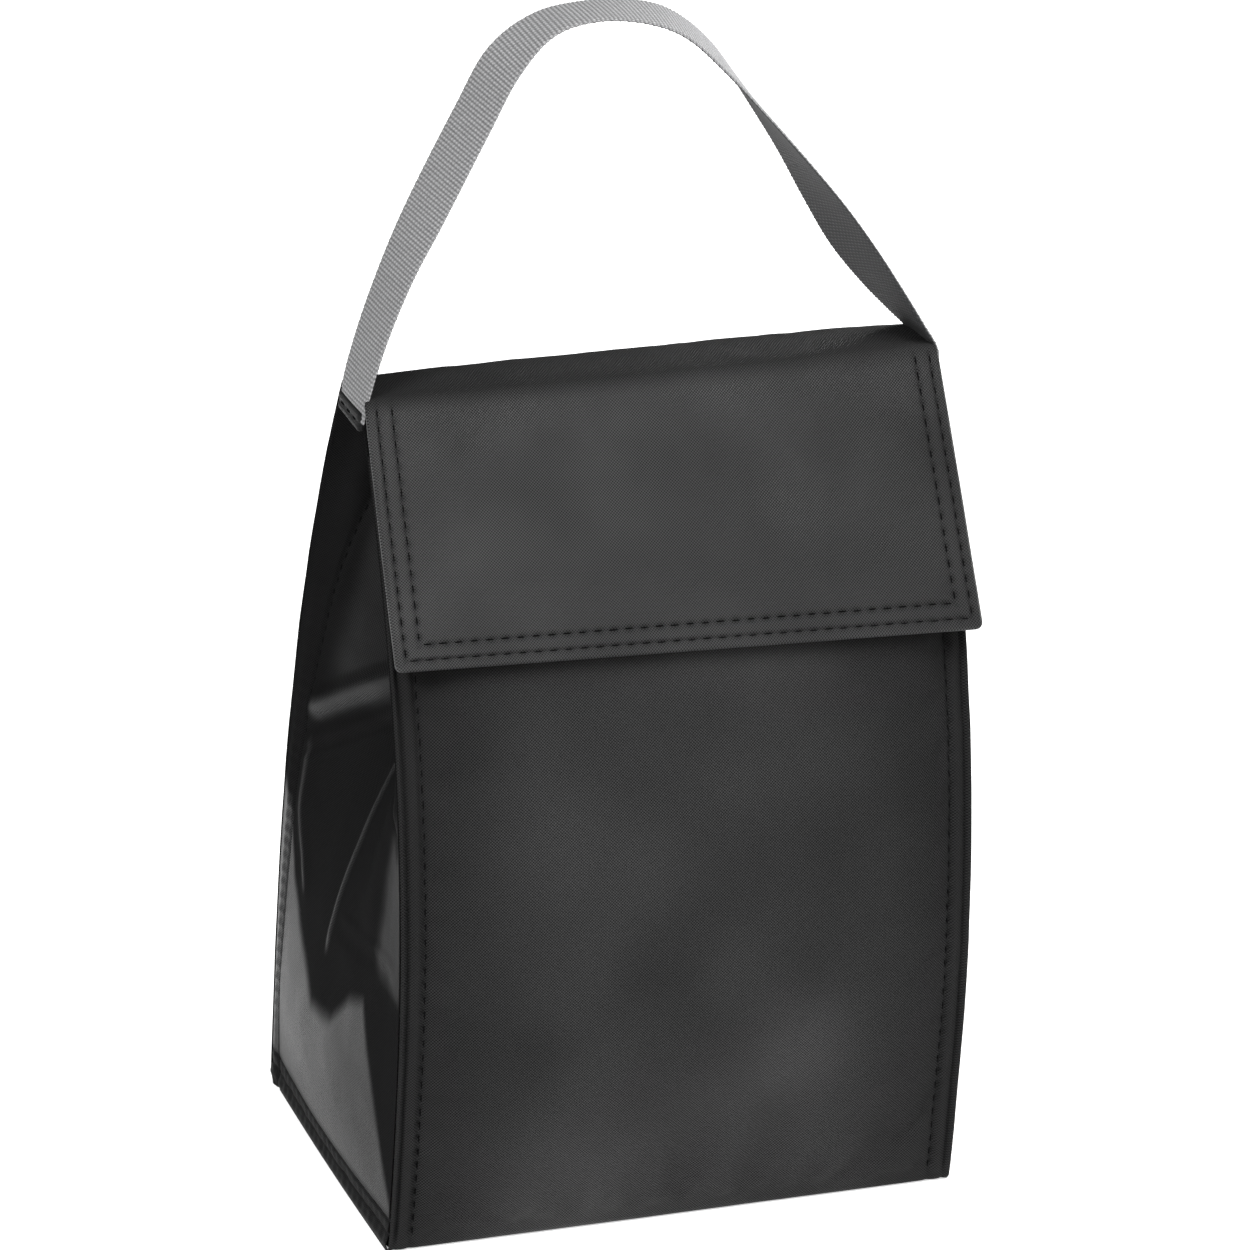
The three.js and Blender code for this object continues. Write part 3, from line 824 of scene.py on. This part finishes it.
def gusset_grid(side, w, z, seed, depth=None):
    """A gusset's outer face, or with depth a plain surface that far inside it.

    w runs from the front seam, 0, to the back seam, 1.
    """
    front_y = -front_seam(z) + GUSSET_INSET
    back_y = back_seam(z) - GUSSET_INSET
    crease = crease_place(z)
    away = np.where(w < crease, (crease - w) / crease, (w - crease) / (1 - crease))
    soft = 0.02
    valley = 1 - (np.sqrt(away ** 2 + soft ** 2) - soft) / (math.sqrt(1 + soft ** 2) - soft)
    x = HALF_WIDTH - fold_depth(z) * valley
    puff = 5.5 * MM * np.sin(math.pi * w) * bump(z, 45 * MM, 60 * MM)
    y = front_y + (back_y - front_y) * w
    grid = np.stack([side * (x + puff), y, z], -1)
    inward = normals(grid, (-side, 0, 0))
    if depth is not None:
        return grid + inward * depth[..., None]
    out = buckles(w, z, crease)
    out += 0.7 * bump(away, 0, 0.03) * smooth(z, 84 * MM, 100 * MM)
    fringe = smooth(np.minimum(w, 1 - w), 0.02, 0.12)
    flat = smooth(z, 15 * MM, 60 * MM)
    out += 1.0 * ripple(grid, 60 * MM, seed) * fringe * flat
    out += 0.2 * ripple(grid, 16 * MM, seed + 2, 2) * fringe * flat * smooth(z, 90 * MM, 150 * MM)
    back_edge = (1 - w) * (back_y - front_y)
    out += 0.7 * bump(back_edge, 4.5 * MM, 4 * MM) - 0.8 * bump(back_edge, SEAM_ROW, 1.4 * MM)
    uneven = 0.5 + 0.5 * ripple(grid, 25 * MM, seed + 4, 2)
    out += pucker(back_edge, z, 6 * MM, 5 * MM, 0.5) * uneven
    for row in BASE_ROWS:
        out -= 0.9 * bump(z, row, 1.2 * MM)
        out += pucker(z, y, row - 2.5 * MM, 4 * MM, 0.3) * uneven
    out += 0.4 * ripple(grid, 8 * MM, seed + 6, 2) * bump(z, 9 * MM, 10 * MM)
    out += 0.8 * bump(z, 3.5 * MM, 3.5 * MM)
    out *= smooth(-z, -312 * MM, -285 * MM)
    return grid - inward * (out * MM)[..., None]


def ledge_place(w):
    """Height of the ledge above the folded part."""
    return 172 * MM + 95 * MM * (0.88 - w)


def facet_place(z):
    """Where a facet's edge runs beside the back seam."""
    return 0.80 + 0.09 * smooth(z, 95 * MM, 140 * MM)


def gusset_gloss_and_painted_light(w, z):
    """Gloss and painted light over the gusset: a painted reflection on its flat foot, painted highlights
    along the ledge above the folded part, the middle fold and a facet edge, a lighter strip near the front
    seam and a lighter upper middle; matt and darker elsewhere, painted shade.
    """
    top = np.interp(w, (0, 0.05, 0.27, 0.36, 0.46, 0.62, 0.8, 0.88, 0.95, 1),
                    np.array((20, 32, 90, 84, 68, 63, 84, 98, 128, 135)) * MM)
    foot = smooth(top - z, -4 * MM, 6 * MM) * (0.25 + 0.75 * smooth(z, 13 * MM, 19 * MM))
    crest = 0.55 * bump(z, ledge_place(w) + 2 * MM, 8 * MM) * smooth(w, 0.6, 0.68) * smooth(1 - w, 0.08, 0.14)
    edge = 0.3 * bump(w, crease_place(z), 0.018) * smooth(z, 86 * MM, 94 * MM)
    folded = smooth(z, 96 * MM, 104 * MM) * smooth(-z, -165 * MM, -150 * MM)
    edge += 0.2 * bump(w, facet_place(z), 0.015) * folded
    strip = smooth(1 - w, 0.76, 0.84) * smooth(z, 104 * MM, 112 * MM) * smooth(-z, -185 * MM, -150 * MM)
    above = smooth(z, 180 * MM, 200 * MM) * smooth(w, 0.3, 0.5) * smooth(1 - w, 0.1, 0.2)
    return np.clip(0.39 * foot + crest + edge + 0.01 + 0.14 * strip + 0.3 * above, 0, 1)


def buckles(w, z, crease):
    """Folds pressed across the gusset where the bag was packed flat, in millimetres outward."""
    back = smooth(w, crease - 0.02, crease + 0.06) * smooth(1 - w, 0.05, 0.12)
    ledge = ledge_place(w)
    folds = 3.8 * bump(z, ledge + 6 * MM, 10 * MM) - 1.2 * bump(z, ledge - 6 * MM, 4 * MM)
    folds += 0.5 * bump(z, ledge - 12 * MM, 3 * MM) - 0.4 * bump(z, ledge - 16 * MM, 3 * MM)
    folds += 0.3 * bump(z, ledge - 20 * MM, 3 * MM)
    out = folds * back
    low = smooth(z, 90 * MM, 110 * MM) * smooth(-z, -170 * MM, -150 * MM)
    out += 1.3 * bump(w, facet_place(z), 0.05) * low
    out += 1.8 * bump(w, 0.90, 0.06) * smooth(z, 195 * MM, 235 * MM)
    front = smooth(w, 0.04, 0.12) * smooth(crease - w, 0.02, 0.10)
    strip = 121 * MM - 25 * MM * w
    out += 1.6 * bump(w, 0.30, 0.12) * smooth(z, 110 * MM, 125 * MM) * smooth(-z, -200 * MM, -160 * MM)
    out += (0.5 * bump(z, strip, 4 * MM) - 0.5 * bump(z, strip - 7 * MM, 5 * MM)) * front
    high = 196 * MM + 50 * MM * (w - 0.5)
    out += (3.0 * bump(z, high, 9 * MM) - 2.0 * bump(z, high - 12 * MM, 8 * MM)) * front
    return out


def build_gusset(side, name, seed):
    ws = steps((0, 0.03, 6), (0.03, 0.42, 46), (0.42, 0.58, 30), (0.58, 0.9, 40), (0.9, 1, 24))
    zs = steps((0, 18 * MM, 26), (18 * MM, 90 * MM, 36), (90 * MM, 215 * MM, 110), (215 * MM, GUSSET_TOP, 58))
    w, z = np.meshgrid(ws, zs)
    grid = gusset_grid(side, w, z, seed)
    uv = np.stack([w * 2 * HALF_DEPTH, z], -1)
    towards = (-side, 0, 0)
    skin = layer(f"{name}_gusset_cloth", grid, towards, 0, CLOTH, SIDE_NYLON_PAINTED_SHADE, uv, gusset_gloss_and_painted_light(w, z))
    # The layers inside stop short of the seams, further in where the walls come close together
    inner_ws = steps((0.07, 0.42, 24), (0.42, 0.58, 16), (0.58, 0.93, 24))
    w, z = np.meshgrid(inner_ws, steps((11 * MM, MOUTH_TOP - 10 * MM, 70)))
    w = 0.5 + (w - 0.5) * (1 - 0.42 * smooth(z, 190 * MM, 285 * MM))
    flat = np.stack([w * 2 * HALF_DEPTH, z], -1)
    depth = (4.6 - 2.6 * smooth(z, 205 * MM, 240 * MM)) * MM
    pad_face, pad_back, film_face, film_back = (
        gusset_grid(side, w, z, seed, depth + further) for further in (0, 1 * MM, 1.3 * MM, 1.6 * MM))
    pad = sheet_between(f"{name}_gusset_padding", pad_face, pad_back, FOAM, flat)
    film = sheet_between(f"{name}_gusset_film", film_face, film_back, FILM, flat)
    nodes = {skin: "panel", pad: "foam", film: "lining"}
    for piece, kind in nodes.items():
        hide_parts(f"{name}_gusset_front_{kind}", f"{name}_gusset_back_{kind}")
        crosses(piece)
    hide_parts(f"base_{name}_seam")
    outward = -normals(grid, towards)
    z = np.linspace(12 * MM, 300 * MM, 220)
    span = back_seam(z) + front_seam(z) - 2 * GUSSET_INSET
    thread_rows = [thread_row(grid, outward, ws, zs, 1 - SEAM_ROW / span, z)]
    along = np.linspace(0.05, 0.95, 120)
    for height in BASE_ROWS:
        thread_rows.append(thread_row(grid, outward, ws, zs, along, np.full_like(along, height)))
    thread = stitches(f"{name}_gusset_stitches", thread_rows)
    crosses(thread)


def crosses(piece):
    """Bakes the piece's placement into its points."""
    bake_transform(piece)


# ---------------------------------------------------------------- top fold and flap

HEM_ROW, PAD_ROW = 4.2 * MM, 10.2 * MM
FLAP_THICK = 3.0 * MM


def arch_length():
    """Length of the flap's path over the top, from the back fold to the front one."""
    a = np.linspace(0, ARCH_TURN, 200)
    y, z = ARCH_HALF * np.cos(a), ARCH_RISE * np.sin(a)
    return float(np.sum(np.hypot(np.diff(y), np.diff(z))))


ARCH = arch_length()
FLAP_END = ARCH + FLAP_LENGTH


def flap_line(t, share):
    """y and z of the flap's outer face: t runs from the back fold over the top and down the front."""
    a = np.clip(t / ARCH, 0, 1) * ARCH_TURN
    y = ARCH_CENTRE + ARCH_HALF * np.cos(a)
    z = FOLD_HEIGHT + ARCH_RISE * np.sin(a)
    down = np.maximum(t - ARCH, 0) * (1 + FLAP_SKEW * share)
    return y - math.sin(FLAP_LEAN) * down, z - math.cos(FLAP_LEAN) * down


def flap_slack(x, t):
    """How far the flap's cloth stands out between its stitch rows, in millimetres."""
    us = np.linspace(-HALF_WIDTH + PAD_ROW, HALF_WIDTH - PAD_ROW, 50)
    vs = np.linspace(2 * MM, FLAP_END - PAD_ROW, 30)
    u, v = np.meshgrid(us, vs)
    y, z = flap_line(v, u / FLAP_HALF_WIDTH)
    coarse = np.stack([u, y, z], -1)
    slack = slack_cloth(coarse, -normals(coarse, (0, 0.5, -1)), 0.012, 0.4, 11, 2.2 * MM)
    slack = cubic(slack, us, vs, x, t) / MM * (0.25 + 0.75 * smooth(t, ARCH, ARCH + 25 * MM))
    return np.where(slack < 0, 0.3 * slack, slack)


def flap_plan(s, t):
    """The flap's plain outer face and its distances from the sides and the lower edge."""
    corner = 3 * MM
    left = np.clip(FLAP_END - t, 0, corner)
    round_corner = corner - np.sqrt(corner ** 2 - (corner - left) ** 2)
    narrow, shoulder = HALF_WIDTH - 1.9 * MM, HALF_WIDTH - 0.6 * MM
    half = narrow + (shoulder - narrow) * smooth(t, ARCH - 6 * MM, ARCH + 2 * MM)
    half += (FLAP_HALF_WIDTH - shoulder) * np.clip((t - ARCH) / FLAP_LENGTH, 0, 1) ** 0.8
    x = s * (half - round_corner)
    y, z = flap_line(t, s)
    crown = 1 - 0.85 * np.clip(np.abs(x) / HALF_WIDTH, 0, 1) ** 6 * smooth(-t, -ARCH, -ARCH + 9 * MM)
    z = np.where(t < ARCH, FOLD_HEIGHT + (z - FOLD_HEIGHT) * crown, z)
    return np.stack([x, y, z], -1), half - np.abs(s) * half, FLAP_END - t


def flap_seams(grid, t, e, along, below):
    """Stitch rows, hem and small ripples of the flap, in millimetres outward."""
    out = np.zeros_like(e)
    uneven = 0.8 + 0.8 * ripple(grid, 22 * MM, 17, 2)
    for row, deep in ((HEM_ROW, 1.0), (PAD_ROW, 0.8)):
        out -= deep * bump(e, row, 0.9 * MM) * (0.65 + 0.35 * stitch_wave(along))
        out += pucker(e, along, row, 3.5 * MM, 0.3) * uneven
    out += 0.3 * bump(e, 7 * MM, 2.8 * MM)
    out += 0.4 * bump(e, 1.9 * MM, 1.9 * MM) * smooth(t, ARCH + 26 * MM, ARCH + 28 * MM)
    out += 0.35 * bump(t, ARCH + 28 * MM, 1.2 * MM) * smooth(-e, -PAD_ROW, -PAD_ROW + 1 * MM)
    out += 0.2 * ripple(grid, 6 * MM, 14, 2) * bump(e, 6 * MM, 8 * MM)
    return out * below + 0.25 * ripple(grid, 18 * MM, 12, 2) * smooth(e, 3 * MM, 14 * MM)


def flap_gloss_and_painted_light(grid, s, t, e, along, below):
    """Gloss and painted light on the flap: glossier and lighter down the front, with a painted highlight band
    below the fold, blotches and more light to the left, a painted sheen; painted shade on the top fold,
    darker at its left; and matt, darker lines of painted shade where stitches pull it in.
    """
    gloss_and_painted_light = 1.4 - 0.3 * s + 0.35 * bump(t, ARCH + 12 * MM, 30 * MM) + 0.5 * ripple(grid, 60 * MM, 15, 2)
    top = 0.25 + 0.3 * s
    gloss_and_painted_light = top + (gloss_and_painted_light - top) * smooth(t, ARCH - 3 * MM, ARCH + 8 * MM)
    pulled_and_painted_shade = np.maximum(bump(e, HEM_ROW, 1.8 * MM), bump(e, PAD_ROW, 2.4 * MM))
    return gloss_and_painted_light * (1 - pulled_and_painted_shade * below * (0.45 + 0.3 * stitch_wave(along)))


def flap_thread(outer, outward, share, ts):
    """Two rows of stitches along the flap's sides and its lower edge."""
    rows = []
    for row in (HEM_ROW, PAD_ROW):
        side_t = np.linspace(ARCH + 2 * MM, FLAP_END - row, 140)
        end_share = 1 - row / FLAP_HALF_WIDTH
        for sign in (-1, 1):
            rows.append(thread_row(outer, outward, share, ts, np.full_like(side_t, sign * end_share), side_t))
        cross = np.linspace(-end_share, end_share, 260)
        rows.append(thread_row(outer, outward, share, ts, cross, np.full_like(cross, FLAP_END - row)))
    return stitches("flap_stitches", rows)


def build_flap():
    edge = steps((0, 1.8 * MM, 8), (1.8 * MM, 12 * MM, 26), (12 * MM, 26 * MM, 8),
                 (26 * MM, FLAP_HALF_WIDTH, 30))
    share = mirrored(edge) / edge[-1]
    ts = steps((0, 2 * MM, 4), (2 * MM, ARCH + 4 * MM, 34), (ARCH + 4 * MM, FLAP_END - 26 * MM, 46),
               (FLAP_END - 26 * MM, FLAP_END - 1.8 * MM, 50), (FLAP_END - 1.8 * MM, FLAP_END, 8))
    s, t = np.meshgrid(share, ts)
    grid, side_e, end_e = flap_plan(s, t)
    inward = normals(grid, (0, 0.5, -1))
    e = np.minimum(side_e, end_e)
    along = np.where(side_e < end_e, t, grid[..., 0])
    below = smooth(t, ARCH - 4 * MM, ARCH + 10 * MM)
    slack = flap_slack(grid[..., 0], t)
    out = flap_seams(grid, t, e, along, below) + slack
    inner_out = (-0.5 * bump(e, HEM_ROW, 1.3 * MM) - 0.5 * bump(e, PAD_ROW, 1.3 * MM)) * below
    inner_out -= slack * smooth(end_e, 34 * MM, 50 * MM)
    body = FLAP_THICK * round_edge(e + 0.02 * MM, 1.6 * MM)
    middle = grid + inward * FLAP_THICK / 2
    outer = middle - inward * (body / 2 + out * MM * (body / FLAP_THICK))[..., None]
    inner = middle + inward * (body / 2 + inner_out * MM)[..., None]
    uv = np.stack([grid[..., 0], t], -1)
    flap = sheet_between("flap_cloth", outer, inner, NYLON, uv, flap_gloss_and_painted_light(grid, s, t, e, along, below))
    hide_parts("flap_panel", "flap_foam", "flap_hem", "top_fold_panel", "top_fold_foam")
    margin = 8 * MM
    keep_rows = np.where(FLAP_END - ts > margin)[0][3:]
    keep_columns = np.where(np.abs(share) * FLAP_HALF_WIDTH < FLAP_HALF_WIDTH - margin)[0]
    lined = np.ix_(keep_rows, keep_columns)
    film_top, film_back = (inner[lined] + inward[lined] * depth * MM for depth in (0.1, 0.45))
    film = sheet_between("flap_film", film_top, film_back, FILM, uv[lined])
    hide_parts("flap_lining", "top_fold_lining")
    thread = flap_thread(outer, -inward, share, ts)
    # The flap's cloth, film and thread have their placement baked into their points.
    for piece in (flap, film, thread):
        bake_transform(piece)
    build_hook_tape()


# A hook's rings from its foot: height and radius in millimetres, and share of its lean
HOOK_RINGS = ((0.0, 0.16, 0.0), (0.35, 0.12, 0.4), (0.5, 0.09, 1.4), (0.36, 0.05, 2.2))
HOOK_PITCH = 1.5 * MM


def build_hook_tape():
    """Stiff hooks on a woven tape, under the flap's lower edge."""
    low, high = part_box("hook_strip")
    across = np.array([0, -math.sin(FLAP_LEAN), -math.cos(FLAP_LEAN)])
    inward = np.array([0, math.cos(FLAP_LEAN), -math.sin(FLAP_LEAN)])
    middle = np.array((low + high) / 2)
    half_x, half_t = (high.x - low.x) / 2, 11 * MM
    u, v = np.meshgrid(np.linspace(-half_x, half_x, 60), np.linspace(-half_t, half_t, 16))
    right = np.array([1, 0, 0])
    plane = middle + u[..., None] * right + v[..., None] * across
    uv = np.stack([u, v], -1)
    base = sheet_between("hook_tape", plane - inward * 0.45 * MM, plane - inward * 0.05 * MM, HOOK, uv)
    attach(base, "flap")
    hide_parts("hook_strip")
    points, faces = [], []
    for i in np.arange(-half_x + 1.5 * MM, half_x - 1 * MM, 1.7 * MM):
        for j in np.arange(-half_t + 1.2 * MM, half_t - 1 * MM, HOOK_PITCH):
            foot = middle + right * i + across * j
            odd = int(round((j + half_t) / HOOK_PITCH)) % 2
            bend = right * (0.22 * MM if odd else -0.22 * MM)
            faces += tube_faces(len(points), len(HOOK_RINGS), 4)
            for level, size, lean in HOOK_RINGS:
                centre = foot + inward * (level - 0.05) * MM + bend * lean
                for a in (0, math.pi / 2, math.pi, 3 * math.pi / 2):
                    points.append(centre + (math.cos(a) * right + math.sin(a) * across) * size * MM)
    hooks = new_object("hook_tape_hooks", np.array(points), faces, HOOK, smooth=False)
    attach(hooks, "flap")


# ---------------------------------------------------------------- handle

# The webbing's middle line, left to right: x and z in millimetres, and its turn in degrees.
HANDLE_ROUTE = [
    (-114.6, 318, 0), (-113.8, 327.5, -4), (-108, 350, -5), (-99, 375, -8), (-88.5, 398, -13),
    (-72.5, 431, -13), (-61, 453, -11), (-46, 466.5, 1), (-28, 470.4, 4), (-8, 468.5, -1),
    (8, 462, -6), (24, 447.5, -8), (40, 427, 1), (56, 405.5, 11), (70, 385, 22), (82, 367, 27),
    (94.4, 350, 22), (105.6, 335.5, 13), (113.2, 325.5, 6), (114.6, 318, 0),
]
WEB_WIDTH, WEB_THICK = 25 * MM, 1.3 * MM
RIB = 1.7 * MM
CELLS = 14


def spline(values, count):
    """A Catmull-Rom curve through a list of values, as count points."""
    values = np.array(values, float)
    padded = np.concatenate([[2 * values[0] - values[1]], values, [2 * values[-1] - values[-2]]])
    where = np.linspace(0, len(values) - 1, count)
    i = np.minimum(where.astype(int), len(values) - 2)
    weights = catmull((where - i)[:, None])
    return sum(weights[k] * padded[i + k] for k in range(4))


def build_handle():
    dense = spline(HANDLE_ROUTE, 4000)
    lengths = path_lengths(dense[:, :2]) * MM
    count = int(lengths[-1] / (RIB / 6))
    places = np.linspace(0, lengths[-1], count)
    x = np.interp(places, lengths, dense[:, 0]) * MM
    z = np.interp(places, lengths, dense[:, 1]) * MM
    turn = np.radians(np.interp(places, lengths, dense[:, 2]))
    centre = np.stack([x, np.full_like(x, PIVOT.y), z], -1)
    tangent = unit(np.gradient(centre, axis=0))
    inwards = np.stack([tangent[:, 2], np.zeros_like(x), -tangent[:, 0]], -1)
    across = np.array([0, 1, 0]) * np.cos(turn)[:, None] + inwards * np.sin(turn)[:, None]
    through = unit(np.cross(tangent, across))
    half = WEB_WIDTH / 2
    lanes = mirrored(steps((0, 1.2 * MM, 4), (1.2 * MM, half, 30)))
    u, v = np.meshgrid(lanes, places)
    edge = round_edge(half - np.abs(u) + 0.03 * MM, 0.9 * MM)
    rib = 0.5 - 0.5 * np.cos(2 * math.pi * v / RIB)
    slant = 0.5 * np.floor(v / RIB) + 0.3 * (v / RIB - np.floor(v / RIB))
    cell = 0.5 + 0.5 * np.cos(2 * math.pi * (u * CELLS / WEB_WIDTH + slant))
    flat = np.stack([u, v, u * 0], -1)
    height = 0.16 * rib + 0.14 * cell * rib + 0.04 * ripple(flat, 1.5 * MM, 21, 2)
    thick = (WEB_THICK / 2 - 0.22 * MM + height * MM) * edge + 0.02 * MM
    sag = 0.3 * MM * (1 - (u / half) ** 2)
    base = centre[:, None, :] + across[:, None, :] * u[..., None] + through[:, None, :] * sag[..., None]
    away = through[:, None, :] * thick[..., None]
    strap = sheet_between("handle_strap", base + away, base - away, WEBBING, flat[..., :2])
    weave_and_painted_shade = (0.4 + 0.6 * rib) * (0.6 + 0.4 * cell)
    shade = strap.data.attributes.new("weave_and_painted_shade", "FLOAT", "POINT")
    # The strap's underside is much darker than its top face: painted shade, over the weave's pattern.
    under = 0.22 * (rib * cell) ** 2
    shade.data.foreach_set("value", np.concatenate([weave_and_painted_shade.ravel(), under.ravel()]).astype(np.float32))
    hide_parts("handle_webbing", "handle_left_end", "handle_right_end")
    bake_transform(strap)


def build_handle_seam(side, name):
    """A folded strip of cloth sewn over the handle's end, from the front corner to the back corner."""
    low, tall, thick = 314.2 * MM, 7.6 * MM, 1.7 * MM
    ends = (-front_seam(low + tall) + 0.6 * MM, back_seam(low + tall) - 0.6 * MM)
    y = np.linspace(*ends, 61)
    round_end = round_edge(np.minimum(y - ends[0], ends[1] - y) + 0.05 * MM, 2 * MM)
    pinch = 0.75 + 0.25 * stitch_wave(y)
    rings = []
    for a in np.linspace(0, 2 * math.pi, 33)[:-1]:
        up = np.sign(math.sin(a)) * abs(math.sin(a)) ** 0.5
        out = np.sign(math.cos(a)) * abs(math.cos(a)) ** 0.6
        channel = 0.45 * MM * math.exp(-(up / 0.2) ** 2) * (1 - 0.5 * pinch)
        x = HALF_WIDTH - 0.25 * MM + out * (thick - 2 * channel) * round_end
        z = low + tall / 2 + up * tall / 2 * (0.6 + 0.4 * round_end)
        rings.append(np.stack([side * x, y, z], -1))
    nylon_tube(f"{name}_handle_seam", np.array(rings), "shell")
    row = np.linspace(ends[0] + 2 * MM, ends[1] - 2 * MM, 60)
    out, up = np.full_like(row, side * (HALF_WIDTH + 1.1 * MM)), np.full_like(row, low + tall / 2)
    path = np.stack([out, row, up], -1)
    outward = np.tile([float(side), 0, 0], (len(row), 1))
    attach(stitches(f"{name}_handle_seam_stitches", [(path, outward)]), "shell")


# ---------------------------------------------------------------- everything

make_camera()
make_studio()
build_base()
build_front()
build_back()
build_gusset(-1, "left", 31)
build_gusset(1, "right", 41)
build_flap()
build_handle()
build_handle_seam(-1, "left")
build_handle_seam(1, "right")
